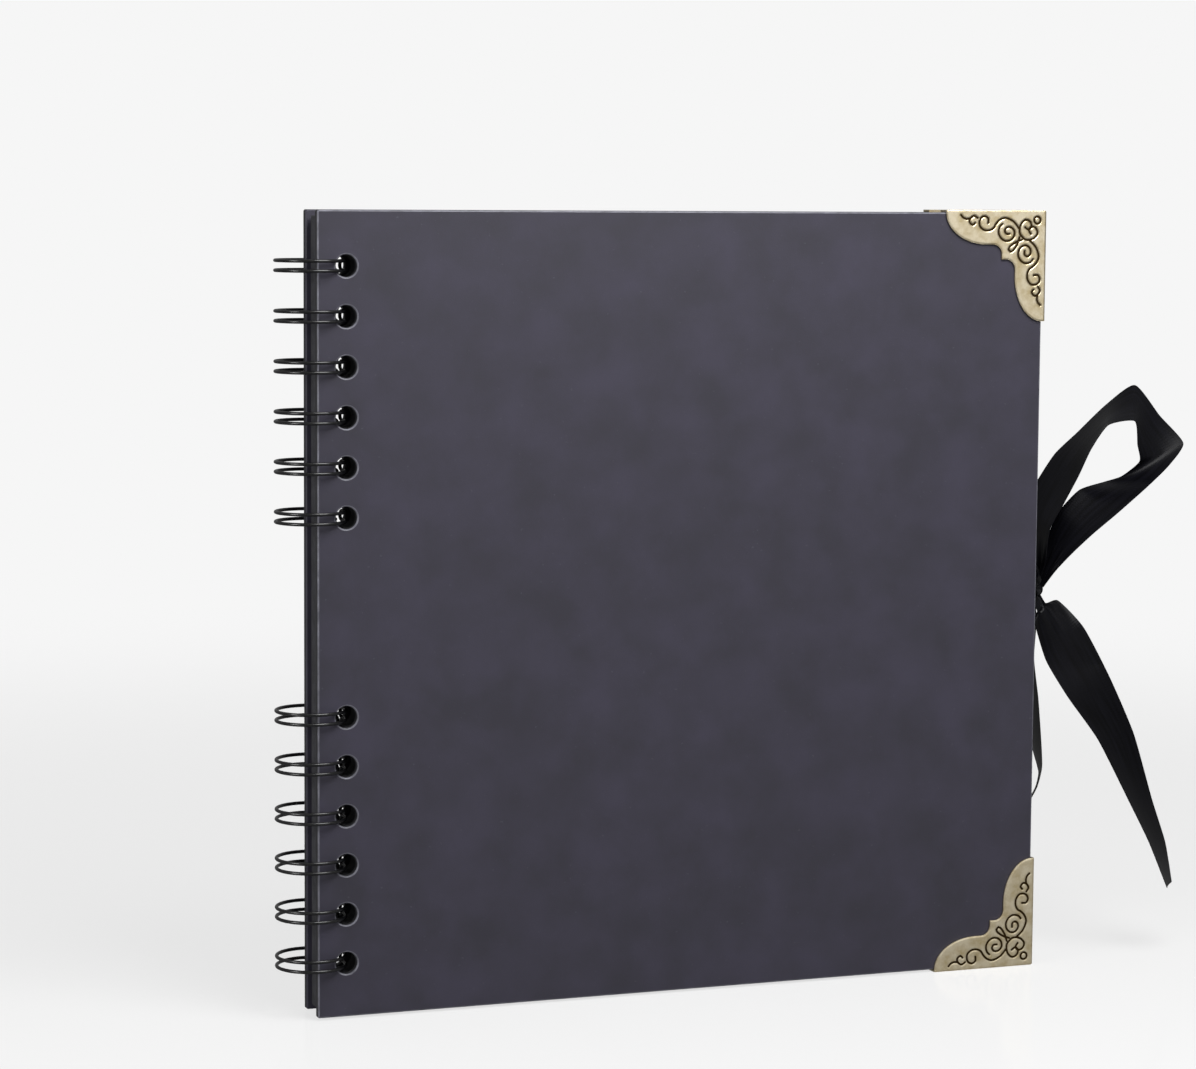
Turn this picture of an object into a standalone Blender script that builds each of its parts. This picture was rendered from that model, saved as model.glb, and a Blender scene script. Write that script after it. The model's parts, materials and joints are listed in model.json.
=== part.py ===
"""A twin-loop bound scrapbook album, closed and standing on the lower edges of its covers.

The spine with its wire loops is on the left (-X), the front cover faces -Y, and +Z is up.
The origin is the middle of the back cover's bottom face. Everything that turns, turns about
one vertical axis, the axis of the wire loops. Sizes are in millimetres until a mesh is made.
"""

from math import asin, ceil, cos, hypot, pi, radians, sin, sqrt

import bmesh
import bpy
from mathutils import Vector

MM = 0.001

# Covers
COVER_WIDTH = 203.2
COVER_HEIGHT = 205.7
BOARD = 2.4

# Holes and loops: a 2:1 twin-loop binding, two loops to the inch
PITCH = 12.7
MISSING_LOOPS = 3  # left out in the middle of the spine
END_MARGIN = 12.0  # least distance from a cover's end to its first hole
HOLE_MARGIN = 7.6  # from a board's spine edge to its hole centres
HOLE_CLEARANCE = 0.17  # round the wires, where they leave a board's hole closest to its edge
WIRE = 0.9
PAIR_SPACING = 2.5  # between the two wires of one loop
AXIS_INSET = 0.0  # the loops' axis, measured in from the covers' spine edge
RING_TUCK = 0.4  # how much closer to the axis than the hole centres the wire passes
SEAM_CLEARANCE = 0.175
TIP_CLEARANCE = 0.2
SEAM_BEND = 0.7

# Leaves
LEAF_COUNT = 20
LEAF = 0.25
LEAF_AIR = 0.05
LEAF_SHORT = 1.5  # how far a leaf stays inside the covers at top, bottom and fore edge
FRONT_AIR = 0.45  # between the front corners' inner plates and the first leaf

# Metal corners, clamped over the boards
CORNER_LEG = 29.2
CORNER_METAL = 0.5
CORNER_GAP = 0.15  # between the metal and the board
LOBE_START = 17.0  # where a leg's rounded lobe begins, along the leg
LOBE_DEPTH = 8.5
NOTCH_RADIUS = 2.7
CUSP = 12.5  # the point on the diagonal

# Ribbon
RIBBON = 15.0
RIBBON_CAD = 0.6
STRAP_START = 0.3
STRAP_END_WIDTH = 7.0
BOW_STANDOFF = 4.0  # the bow's centre, out from the covers' fore edge
BOW_BACKSET = 0.5  # and back from the middle of the album's thickness
KNOT_SHIFT = (-0.8, 1.5, 0.0)
KNOT_RADII = (2.6, 3.5, 3.5)
KNOT_GAP = 0.35

# Worked out from the sizes above
BLOCK = LEAF_COUNT * LEAF + (LEAF_COUNT - 1) * LEAF_AIR
FRONT_ROOM = CORNER_GAP + CORNER_METAL + FRONT_AIR
BACK_ROOM = WIRE + 2 * SEAM_CLEARANCE
THICKNESS = 2 * BOARD + FRONT_ROOM + BLOCK + BACK_ROOM
HALF = THICKNESS / 2
FORE = COVER_WIDTH - AXIS_INSET  # the covers' fore edge, from the axis
HOLE_OUT = HOLE_MARGIN - AXIS_INSET  # the covers' hole centres, from the axis
RING_RADIUS = hypot(HOLE_OUT, HALF - BOARD / 2) - RING_TUCK
RING_OUT = sqrt(RING_RADIUS**2 - HALF**2)  # the wire at a cover's outer face, from the axis
SLANT = RING_RADIUS / RING_OUT  # how much longer the wire's section is there, along the cover
HOLE_RADIUS = hypot(HOLE_OUT - RING_OUT, PAIR_SPACING / 2) + WIRE / 2 * SLANT + HOLE_CLEARANCE
SEAM_OUT = HALF - BOARD - BACK_ROOM / 2
BLOCK_FRONT = -HALF + BOARD + FRONT_ROOM
BLOCK_REACH = max(-BLOCK_FRONT, BLOCK_FRONT + BLOCK)
LEAF_HOLE_OUT = (RING_RADIUS + sqrt(RING_RADIUS**2 - BLOCK_REACH**2)) / 2
LEAF_START = LEAF_HOLE_OUT - HOLE_MARGIN

# The foot of the loops' axis. Every mesh is drawn from there: x towards the fore edge,
# y towards the back cover, z up.
HINGE = Vector((AXIS_INSET - COVER_WIDTH / 2, BOARD / 2 - HALF, 0)) * MM

COLOURS = {
    "cover_board": ((0.075, 0.073, 0.095), 0.8, 0.0),
    "album_paper": ((0.05, 0.05, 0.06), 0.9, 0.0),
    "antique_brass": ((0.62, 0.5, 0.3), 0.35, 1.0),
    "black_wire": ((0.012, 0.012, 0.014), 0.2, 0.4),
    "black_satin": ((0.008, 0.008, 0.012), 0.45, 0.0),
}


def clear_scene():
    for thing in list(bpy.data.objects):
        bpy.data.objects.remove(thing, do_unlink=True)


def material(name):
    found = bpy.data.materials.get(name)
    if found:
        return found
    colour, roughness, metallic = COLOURS[name]
    made = bpy.data.materials.new(name)
    made.use_nodes = True
    shader = made.node_tree.nodes["Principled BSDF"]
    shader.inputs["Base Color"].default_value = (*colour, 1)
    shader.inputs["Roughness"].default_value = roughness
    shader.inputs["Metallic"].default_value = metallic
    return made


def add_object(name, shape, finish, parent=None, smooth=None):
    """Makes the node from a bmesh drawn from the hinge's foot in millimetres."""
    bmesh.ops.recalc_face_normals(shape, faces=shape.faces)
    bmesh.ops.scale(shape, vec=(MM, MM, MM), verts=shape.verts)
    mesh = bpy.data.meshes.new(name)
    shape.to_mesh(mesh)
    shape.free()
    if smooth:
        mesh.shade_smooth()
        mesh.set_sharp_from_angle(angle=radians(smooth))
    mesh.materials.append(material(finish))
    made = bpy.data.objects.new(name, mesh)
    bpy.context.scene.collection.objects.link(made)
    if parent:
        made.parent = parent
    else:
        made.location = HINGE
    return made


def loop_groups():
    """Heights of the loops' centres, as the lower and the upper group, each from the top down."""
    places = int((COVER_HEIGHT - 2 * END_MARGIN) / PITCH) + 1
    each = (places - MISSING_LOOPS) // 2
    span = (2 * each + MISSING_LOOPS - 1) * PITCH
    top = (COVER_HEIGHT + span) / 2
    upper = [top - PITCH * i for i in range(each)]
    lower = [COVER_HEIGHT - height for height in reversed(upper)]
    return lower, upper


def round_outline(centre_x, centre_z, radius, sides):
    """A polygon that a circle of this radius fits inside."""
    corner = radius / cos(pi / sides)
    steps = [2 * pi * (i + 0.5) / sides for i in range(sides)]
    return [(centre_x + corner * cos(a), centre_z + corner * sin(a)) for a in steps]


def punched_sheet(left, right, bottom, top, front, thickness, hole_x, hole_sides):
    """A flat rectangle with the binding's holes, extruded towards the back."""
    outlines = [[(left, bottom), (right, bottom), (right, top), (left, top)]]
    for group in loop_groups():
        for height in group:
            outlines.append(round_outline(hole_x, height, HOLE_RADIUS, hole_sides))
    shape = bmesh.new()
    edges = []
    for outline in outlines:
        ring = [shape.verts.new((x, front, z)) for x, z in outline]
        edges += [shape.edges.new((ring[i - 1], ring[i])) for i in range(len(ring))]
    bmesh.ops.triangle_fill(shape, use_beauty=True, edges=edges)
    pulled = bmesh.ops.extrude_face_region(shape, geom=shape.faces[:])
    moved = [v for v in pulled["geom"] if isinstance(v, bmesh.types.BMVert)]
    bmesh.ops.translate(shape, vec=(0, thickness, 0), verts=moved)
    return shape


def add_cover(name, front):
    shape = punched_sheet(-AXIS_INSET, FORE, 0, COVER_HEIGHT, front, BOARD, HOLE_OUT, 12)
    return add_object(name, shape, "cover_board")


def add_leaf(number):
    front = BLOCK_FRONT + (number - 1) * (LEAF + LEAF_AIR)
    right = FORE - LEAF_SHORT
    top = COVER_HEIGHT - LEAF_SHORT
    shape = punched_sheet(LEAF_START, right, LEAF_SHORT, top, front, LEAF, LEAF_HOLE_OUT, 6)
    return add_object(f"leaf_{number:02d}", shape, "album_paper")


def corner_outline():
    """The plate in its own plane: the corner at 0, 0 and a leg along each axis.

    One leg is an elliptical lobe and a concave notch; the other mirrors it in the diagonal.
    """
    lobe = CORNER_LEG - LOBE_START
    leg = []
    for i in range(7):
        turn = radians(15 * i)
        leg.append((LOBE_START + lobe * cos(turn), LOBE_DEPTH * sin(turn)))
    centre = LOBE_DEPTH + NOTCH_RADIUS
    for i in range(4):
        turn = radians(30 * i)
        across = CUSP + NOTCH_RADIUS - NOTCH_RADIUS * sin(turn)
        leg.append((across, centre - NOTCH_RADIUS * cos(turn)))
    other = [(b, a) for a, b in reversed(leg)]
    rim = CORNER_METAL + CORNER_GAP
    return [(-rim, -rim), (CORNER_LEG, -rim), *leg, (CUSP, CUSP), *other, (-rim, CORNER_LEG)]


def extruded(outline, front, back):
    """A flat outline of x and z, made solid from front to back."""
    shape = bmesh.new()
    face = shape.faces.new([shape.verts.new((x, front, z)) for x, z in outline])
    pulled = bmesh.ops.extrude_face_region(shape, geom=[face])
    moved = [v for v in pulled["geom"] if isinstance(v, bmesh.types.BMVert)]
    bmesh.ops.translate(shape, vec=(0, back - front, 0), verts=moved)
    return shape


def add_corner(name, board_front, at_top, cover):
    """A folded metal corner: the outline extruded over the board, less the board's own room."""
    rim = CORNER_METAL + CORNER_GAP
    height, sign = (COVER_HEIGHT, -1) if at_top else (0, 1)
    outline = [(FORE - a, height + sign * b) for a, b in corner_outline()]
    shape = extruded(outline, board_front - rim, board_front + BOARD + rim)
    corner = add_object(name, shape, "antique_brass", parent=cover)
    far = 2 * CORNER_LEG
    room = [(CORNER_GAP, -CORNER_GAP), (-far, -CORNER_GAP), (-far, far), (CORNER_GAP, far)]
    room = [(FORE + a, height + sign * b) for a, b in room]
    cut = extruded(room, board_front - CORNER_GAP, board_front + BOARD + CORNER_GAP)
    cutter = add_object(f"{name}_cutter", cut, "antique_brass", parent=cover)
    cutter.hide_render = True
    cutter.display_type = "WIRE"
    fold = corner.modifiers.new("board_room", "BOOLEAN")
    fold.operation = "DIFFERENCE"
    fold.object = cutter
    return corner


def wire_route(heights):
    """One wire as (way round the ring, height): out to each loop's tip, back, and along a link."""
    seam = RING_RADIUS * asin(SEAM_OUT / RING_RADIUS)
    tip = seam + 2 * pi * RING_RADIUS - WIRE - TIP_CLEARANCE
    half_pair = PAIR_SPACING / 2
    arc_start = seam + SEAM_BEND
    arc_end = tip - half_pair
    steps = ceil((arc_end - arc_start) / (RING_RADIUS * radians(24)))
    arc = [arc_start + (arc_end - arc_start) * i / steps for i in range(steps + 1)]
    route = []
    for number, height in enumerate(heights):
        if number == 0:
            route.append((seam, height + half_pair))
        else:
            bend = height + half_pair + SEAM_BEND
            for i in range(2):
                turn = radians(45 * i)
                route.append((seam + SEAM_BEND * (1 - cos(turn)), bend - SEAM_BEND * sin(turn)))
        route += [(way, height + half_pair) for way in arc]
        for i in range(1, 4):
            turn = radians(90 - 45 * i)
            route.append((arc_end + half_pair * cos(turn), height + half_pair * sin(turn)))
        route += [(way, height - half_pair) for way in reversed(arc)]
        if number == len(heights) - 1:
            route.append((seam, height - half_pair))
        else:
            bend = height - half_pair - SEAM_BEND
            for i in range(1, 3):
                turn = radians(45 * i)
                route.append((seam + SEAM_BEND * (1 - sin(turn)), bend + SEAM_BEND * cos(turn)))
    return route


def add_wire(name, heights, parent):
    """The route wrapped round the ring and swept with a six-sided section."""
    route = wire_route(heights)
    points = []
    for way, height in route:
        turn = way / RING_RADIUS
        points.append(Vector((RING_RADIUS * cos(turn), RING_RADIUS * sin(turn), height)))
    shape = bmesh.new()
    rings = []
    for i, point in enumerate(points):
        before = points[max(i - 1, 0)]
        after = points[min(i + 1, len(points) - 1)]
        along = (after - before).normalized()
        outward = Vector((point.x, point.y, 0)).normalized()
        side = along.cross(outward).normalized()
        outward = side.cross(along)
        ring = []
        for corner in range(6):
            turn = radians(60 * corner)
            offset = outward * cos(turn) + side * sin(turn)
            ring.append(shape.verts.new(point + offset * WIRE / 2))
        rings.append(ring)
    for first, second in zip(rings, rings[1:]):
        for j in range(6):
            shape.faces.new((first[j - 1], first[j], second[j], second[j - 1]))
    shape.faces.new(rings[0])
    shape.faces.new(rings[-1])
    return add_object(name, shape, "black_wire", parent=parent, smooth=50)


# The ribbon's stations, each as its two edge points, from the bow's centre. They are places
# chosen by hand along a soft piece, which nothing else fits to.
LOOP_FRONT = [
    ((1.5, 5.5, 4.5), (0.5, -1.5, 4.5)),
    ((1.5, 9.0, 10.0), (0.8, -3.0, 8.5)),
    ((2.7, 11.9, 21.8), (2.6, -1.9, 16.2)),
    ((5.9, 13.0, 27.8), (6.7, -1.0, 22.3)),
    ((12.2, 14.1, 35.7), (12.2, 0.0, 30.7)),
    ((19.1, 14.2, 41.5), (16.0, 0.0, 38.1)),
    ((27.0, 12.3, 49.3), (21.0, -0.3, 44.6)),
    ((34.3, 9.2, 54.9), (28.7, -1.2, 45.6)),
    ((39.8, 4.5, 46.5), (29.0, -2.5, 39.1)),
    ((44.0, -1.5, 39.2), (30.0, -2.0, 34.5)),
    ((37.0, -6.0, 33.5), (26.2, 1.0, 30.2)),
    ((28.6, -9.0, 28.0), (22.5, 3.9, 28.5)),
    ((19.2, -9.4, 20.9), (14.0, 2.8, 26.5)),
    ((12.1, -9.2, 15.6), (7.8, 3.0, 20.5)),
    ((6.0, -7.5, 9.7), (4.6, 3.8, 12.6)),
    ((2.5, -4.5, 4.8), (2.4, 3.0, 5.6)),
]
TAIL_FRONT = [
    ((3.2, 0.8, -4.2), (-0.2, -2.2, -5.2)),
    ((7.4, 1.2, -3.8), (-2.6, -4.2, -8.6)),
    ((13.1, -3.2, -11.2), (0.6, -4.8, -19.4)),
    ((20.6, -4.9, -25.2), (6.4, -7.1, -29.6)),
    ((28.7, -4.4, -41.3), (14.7, -9.6, -41.5)),
    ((35.8, -2.8, -60.3), (23.5, -11.2, -58.2)),
    ((41.4, -1.0, -73.2), (30.5, -11.0, -70.7)),
    ((45.0, 1.1, -85.2), (36.5, -11.1, -84.0)),
]
LOOP_BACK = [
    ((3.0, 6.5, 2.2), (-2.0, 6.5, 2.2)),
    ((6.5, 12.0, 4.0), (-4.5, 12.5, 5.0)),
    ((8.5, 22.0, 8.5), (-5.0, 23.0, 11.0)),
    ((8.0, 33.0, 10.0), (-6.0, 34.0, 13.0)),
    ((7.0, 40.0, 5.0), (-7.5, 40.5, 7.0)),
    ((7.0, 38.0, -3.0), (-7.5, 38.0, -2.0)),
    ((8.0, 27.0, -7.0), (-6.5, 27.0, -6.0)),
    ((7.0, 15.0, -4.0), (-4.8, 15.5, -3.5)),
    ((3.0, 7.5, -1.5), (-1.5, 7.5, -1.5)),
]
TAIL_BACK = [
    ((3.2, 7.0, -4.2), (-0.8, 3.0, -4.8)),
    ((6.0, 11.1, -9.5), (-1.8, -0.3, -9.5)),
    ((6.1, 12.6, -21.3), (-3.0, 1.4, -18.6)),
    ((8.2, 13.6, -32.8), (-1.5, 2.4, -30.8)),
    ((10.0, 14.8, -45.0), (0.7, 3.2, -43.3)),
    ((11.3, 16.4, -53.0), (3.6, 3.6, -52.2)),
    ((11.0, 18.5, -59.0), (3.8, 5.5, -57.1)),
    ((9.8, 21.5, -64.3), (2.6, 8.5, -61.8)),
]


def bow_centre():
    return Vector((FORE + BOW_STANDOFF, BOW_BACKSET, COVER_HEIGHT / 2))


def strap_stations(board_middle, end_offset):
    """A short band from a board's fore edge to the knot, narrowing as it goes."""
    middle = COVER_HEIGHT / 2
    knot = bow_centre() + Vector(KNOT_SHIFT)
    start = Vector((FORE + STRAP_START + RIBBON_CAD / 2, board_middle, middle))
    end = Vector((knot.x, knot.y + end_offset, middle))
    stations = []
    for i in range(4):
        share = i / 3
        half_width = (RIBBON + (STRAP_END_WIDTH - RIBBON) * share) / 2
        place = start.lerp(end, share)
        place.x = start.x + (end.x - start.x) * sin(radians(90) * share)
        stations.append((place + Vector((0, 0, half_width)), place - Vector((0, 0, half_width))))
    return stations


def smooth_stations(stations, steps):
    """Points on a smooth curve through each edge's stations."""
    pairs = [(Vector(a), Vector(b)) for a, b in stations]
    pairs = [pairs[0], *pairs, pairs[-1]]
    found = []
    for i in range(1, len(pairs) - 2):
        for step in range(steps):
            t = step / steps
            weights = (
                (-t + 2 * t * t - t**3) / 2,
                (2 - 5 * t * t + 3 * t**3) / 2,
                (t + 4 * t * t - 3 * t**3) / 2,
                (t**3 - t * t) / 2,
            )
            near = pairs[i - 1 : i + 3]
            edges = [sum((w * p[e] for w, p in zip(weights, near)), Vector()) for e in (0, 1)]
            found.append(tuple(edges))
    return [*found, pairs[-1]]


def add_ribbon(name, stations, parent, steps=2):
    """A band through the stations, as thick as RIBBON_CAD, closed at both ends."""
    pairs = smooth_stations(stations, steps)
    shape = bmesh.new()
    rings = []
    for i, (first, second) in enumerate(pairs):
        before = pairs[max(i - 1, 0)]
        after = pairs[min(i + 1, len(pairs) - 1)]
        along = (after[0] + after[1] - before[0] - before[1]).normalized()
        offset = along.cross(second - first).normalized() * RIBBON_CAD / 2
        corners = (first + offset, second + offset, second - offset, first - offset)
        rings.append([shape.verts.new(corner) for corner in corners])
    for first, second in zip(rings, rings[1:]):
        for j in range(4):
            shape.faces.new((first[j - 1], first[j], second[j], second[j - 1]))
    shape.faces.new(rings[0])
    shape.faces.new(rings[-1])
    bmesh.ops.triangulate(shape, faces=shape.faces[:])
    return add_object(name, shape, "black_satin", parent=parent, smooth=40)


def from_bow(stations):
    centre = bow_centre()
    return [(centre + Vector(a), centre + Vector(b)) for a, b in stations]


def add_knot(parent):
    shape = bmesh.new()
    bmesh.ops.create_icosphere(shape, subdivisions=2, radius=1)
    bmesh.ops.scale(shape, vec=KNOT_RADII, verts=shape.verts)
    bmesh.ops.translate(shape, vec=bow_centre() + Vector(KNOT_SHIFT), verts=shape.verts)
    return add_object("ribbon_knot", shape, "black_satin", parent=parent, smooth=60)


def build():
    clear_scene()
    front_cover = add_cover("front_cover", -HALF)
    back_cover = add_cover("back_cover", HALF - BOARD)
    for number in range(1, LEAF_COUNT + 1):
        add_leaf(number)
    for side, front, cover in (("front", -HALF, front_cover), ("back", HALF - BOARD, back_cover)):
        add_corner(f"corner_{side}_top", front, True, cover)
        add_corner(f"corner_{side}_bottom", front, False, cover)
    lower, upper = loop_groups()
    add_wire("wire_lower", lower, back_cover)
    add_wire("wire_upper", upper, back_cover)
    reach = KNOT_RADII[1] + KNOT_GAP + RIBBON_CAD / 2
    front_strap = strap_stations(BOARD / 2 - HALF, -reach)
    back_strap = strap_stations(HALF - BOARD / 2, reach)
    add_ribbon("ribbon_front_strap", front_strap, front_cover)
    add_ribbon("ribbon_front_loop", from_bow(LOOP_FRONT), front_cover)
    add_ribbon("ribbon_front_tail", from_bow(TAIL_FRONT), front_cover)
    add_knot(front_cover)
    add_ribbon("ribbon_back_strap", back_strap, back_cover)
    add_ribbon("ribbon_back_loop", from_bow(LOOP_BACK), back_cover)
    add_ribbon("ribbon_back_tail", from_bow(TAIL_BACK), back_cover)


build()
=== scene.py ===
"""A scrapbook album with a twin-loop wire spine, engraved brass corners and a satin bow."""

import json
import logging
from dataclasses import dataclass, field
from enum import Enum
from math import asin, cos, pi, radians, sin
from typing import Iterable

import bmesh
import bpy
import numpy as np
from mathutils import Matrix, Vector


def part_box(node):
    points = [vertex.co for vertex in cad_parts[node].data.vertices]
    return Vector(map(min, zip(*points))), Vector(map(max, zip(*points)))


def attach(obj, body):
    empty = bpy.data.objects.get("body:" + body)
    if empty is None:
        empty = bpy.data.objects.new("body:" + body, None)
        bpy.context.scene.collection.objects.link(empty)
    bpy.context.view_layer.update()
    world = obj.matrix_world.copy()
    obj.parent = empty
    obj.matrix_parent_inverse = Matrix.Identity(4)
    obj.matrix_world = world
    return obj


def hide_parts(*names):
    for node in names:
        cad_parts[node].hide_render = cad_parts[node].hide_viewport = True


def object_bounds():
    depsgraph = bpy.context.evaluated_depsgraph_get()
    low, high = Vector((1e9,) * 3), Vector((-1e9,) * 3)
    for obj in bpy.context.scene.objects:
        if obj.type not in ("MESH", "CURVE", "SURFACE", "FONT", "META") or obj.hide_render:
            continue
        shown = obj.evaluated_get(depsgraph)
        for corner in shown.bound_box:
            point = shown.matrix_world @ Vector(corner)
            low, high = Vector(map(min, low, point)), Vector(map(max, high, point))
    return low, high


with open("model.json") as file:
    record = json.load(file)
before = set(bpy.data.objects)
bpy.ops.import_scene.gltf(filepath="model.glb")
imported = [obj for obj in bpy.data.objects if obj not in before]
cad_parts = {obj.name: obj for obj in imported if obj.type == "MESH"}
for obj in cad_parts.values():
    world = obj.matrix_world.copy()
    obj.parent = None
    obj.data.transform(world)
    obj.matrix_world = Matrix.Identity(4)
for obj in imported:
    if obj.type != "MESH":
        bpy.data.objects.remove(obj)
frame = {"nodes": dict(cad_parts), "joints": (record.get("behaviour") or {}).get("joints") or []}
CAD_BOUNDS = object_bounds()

logging.basicConfig(level=logging.INFO, format="%(levelname)s %(message)s")
log = logging.getLogger("album")

MM = 0.001
WAVE_RATE = 20.0  # radians that a Wave texture turns through per unit, at scale 1
Point2 = tuple[float, float]
Station = tuple[tuple[float, float, float], tuple[float, float, float]]


class Side(Enum):
    """Which cover a piece belongs to. The value is the way out of the album along Y."""

    FRONT = -1
    BACK = 1

    @property
    def word(self) -> str:
        """The side's word in node names."""
        return self.name.lower()

    @property
    def body(self) -> str:
        """The body that the side's pieces ride on."""
        return f"{self.word}_half"


class Level(Enum):
    """The upper or lower end of a cover. The value is the way from that end into the cover."""

    TOP = -1
    BOTTOM = 1


def linear(code: str) -> tuple[float, float, float, float]:
    """Turns an sRGB hex colour into linear light.

    Args:
        code: Six hex digits after a hash sign.

    Returns:
        Red, green, blue and an alpha of 1.
    """
    parts = [int(code[i : i + 2], 16) / 255 for i in (1, 3, 5)]
    light = [p / 12.92 if p <= 0.04045 else ((p + 0.055) / 1.055) ** 2.4 for p in parts]
    return (*light, 1.0)


def add_node(tree: bpy.types.NodeTree, kind: str, **settings: object) -> bpy.types.Node:
    """Adds a node, sets its properties and fills or links its inputs.

    Args:
        tree: The material's, world's or geometry's node tree.
        kind: Blender's name for the node type.
        settings: Node properties by name. A key of inputs holds a dict from socket name or
            number to a value or to the output socket that is linked there.

    Returns:
        The new node.
    """
    node = tree.nodes.new(kind)
    inputs = settings.pop("inputs", {})
    for key, value in settings.items():
        setattr(node, key, value)
    for key, value in inputs.items():
        if isinstance(value, bpy.types.NodeSocket):
            tree.links.new(value, node.inputs[key])
        else:
            node.inputs[key].default_value = value
    return node


def linked(name: str, data: bpy.types.ID) -> bpy.types.Object:
    """A new object on this data, linked into the scene."""
    made = bpy.data.objects.new(name, data)
    bpy.context.scene.collection.objects.link(made)
    return made


@dataclass(frozen=True)
class Finish:
    """What every surface finish has: a name and the shader's own values."""

    name: str
    roughness: float = 0.5
    metallic: float = 0.0

    def dress(self, tree: bpy.types.NodeTree, shader: bpy.types.Node) -> None:
        """Adds the finish's own pattern. Each kind of finish has its own."""
        raise NotImplementedError

    def material(self) -> bpy.types.Material:
        """The finish as a material, made the first time that it is asked for."""
        found = bpy.data.materials.get(self.name)
        if found:
            return found
        made = bpy.data.materials.new(self.name)
        made.use_nodes = True
        shader = made.node_tree.nodes["Principled BSDF"]
        shader.inputs["Roughness"].default_value = self.roughness
        shader.inputs["Metallic"].default_value = self.metallic
        self.dress(made.node_tree, shader)
        return made

    def blend(
        self,
        tree: bpy.types.NodeTree,
        share: bpy.types.NodeSocket,
        stops: Iterable[tuple[float, str]],
    ) -> bpy.types.NodeSocket:
        """A colour ramp.

        Args:
            tree: The material's node tree.
            share: What picks the place on the ramp.
            stops: Places from 0 to 1, each with its hex colour.

        Returns:
            The ramp's colour.
        """
        node = add_node(tree, "ShaderNodeValToRGB", inputs={"Fac": share})
        ramp = node.color_ramp
        for number, (place, code) in enumerate(stops):
            stop = ramp.elements[number] if number < 2 else ramp.elements.new(place)
            stop.position = place
            stop.color = linear(code)
        return node.outputs["Color"]


@dataclass(frozen=True)
class PressedPaper(Finish):
    """Dyed paper or board, pressed smooth: faint clouds of fibre and a fine tooth.

    The tooth is drawn at about 0.4 mm, coarser than real fibre, so that it shows at all.
    """

    dark: str = "#303038"
    light: str = "#3C3C46"
    fleck: str = "#6A6A74"
    tooth_mm: float = 0.4
    fleck_mm: float = 0.9
    cloud_mm: float = 14.0
    relief: float = 0.12
    roughness_swing: float = 0.06

    def dress(self, tree: bpy.types.NodeTree, shader: bpy.types.Node) -> None:
        """Clouds, flecks of undyed fibre and the tooth's bump."""
        place = add_node(tree, "ShaderNodeTexCoord").outputs["Object"]
        cloud = add_node(
            tree,
            "ShaderNodeTexNoise",
            inputs={
                "Vector": place,
                "Scale": 1 / (self.cloud_mm * MM),
                "Detail": 6.0,
                "Roughness": 0.6,
            },
        )
        base = self.blend(tree, cloud.outputs["Fac"], [(0.35, self.dark), (0.68, self.light)])
        tooth = add_node(
            tree,
            "ShaderNodeTexNoise",
            inputs={
                "Vector": place,
                "Scale": 1 / (self.tooth_mm * MM),
                "Detail": 3.0,
                "Roughness": 0.65,
            },
        )
        fleck = add_node(
            tree,
            "ShaderNodeTexNoise",
            inputs={"Vector": place, "Scale": 1 / (self.fleck_mm * MM), "Detail": 1.0},
        )
        rare = add_node(
            tree,
            "ShaderNodeMapRange",
            inputs={
                "Value": fleck.outputs["Fac"],
                "From Min": 0.74,
                "From Max": 0.82,
                "To Max": 0.5,
            },
        )
        mixed = add_node(
            tree,
            "ShaderNodeMix",
            data_type="RGBA",
            inputs={0: rare.outputs["Result"], 6: base, 7: linear(self.fleck)},
        )
        tree.links.new(mixed.outputs[2], shader.inputs["Base Color"])
        rough = add_node(
            tree,
            "ShaderNodeMapRange",
            inputs={
                "Value": cloud.outputs["Fac"],
                "To Min": self.roughness - self.roughness_swing,
                "To Max": self.roughness + self.roughness_swing,
            },
        )
        tree.links.new(rough.outputs["Result"], shader.inputs["Roughness"])
        bump = add_node(
            tree,
            "ShaderNodeBump",
            inputs={"Height": tooth.outputs["Fac"], "Strength": self.relief, "Distance": 0.2 * MM},
        )
        tree.links.new(bump.outputs["Normal"], shader.inputs["Normal"])


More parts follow.
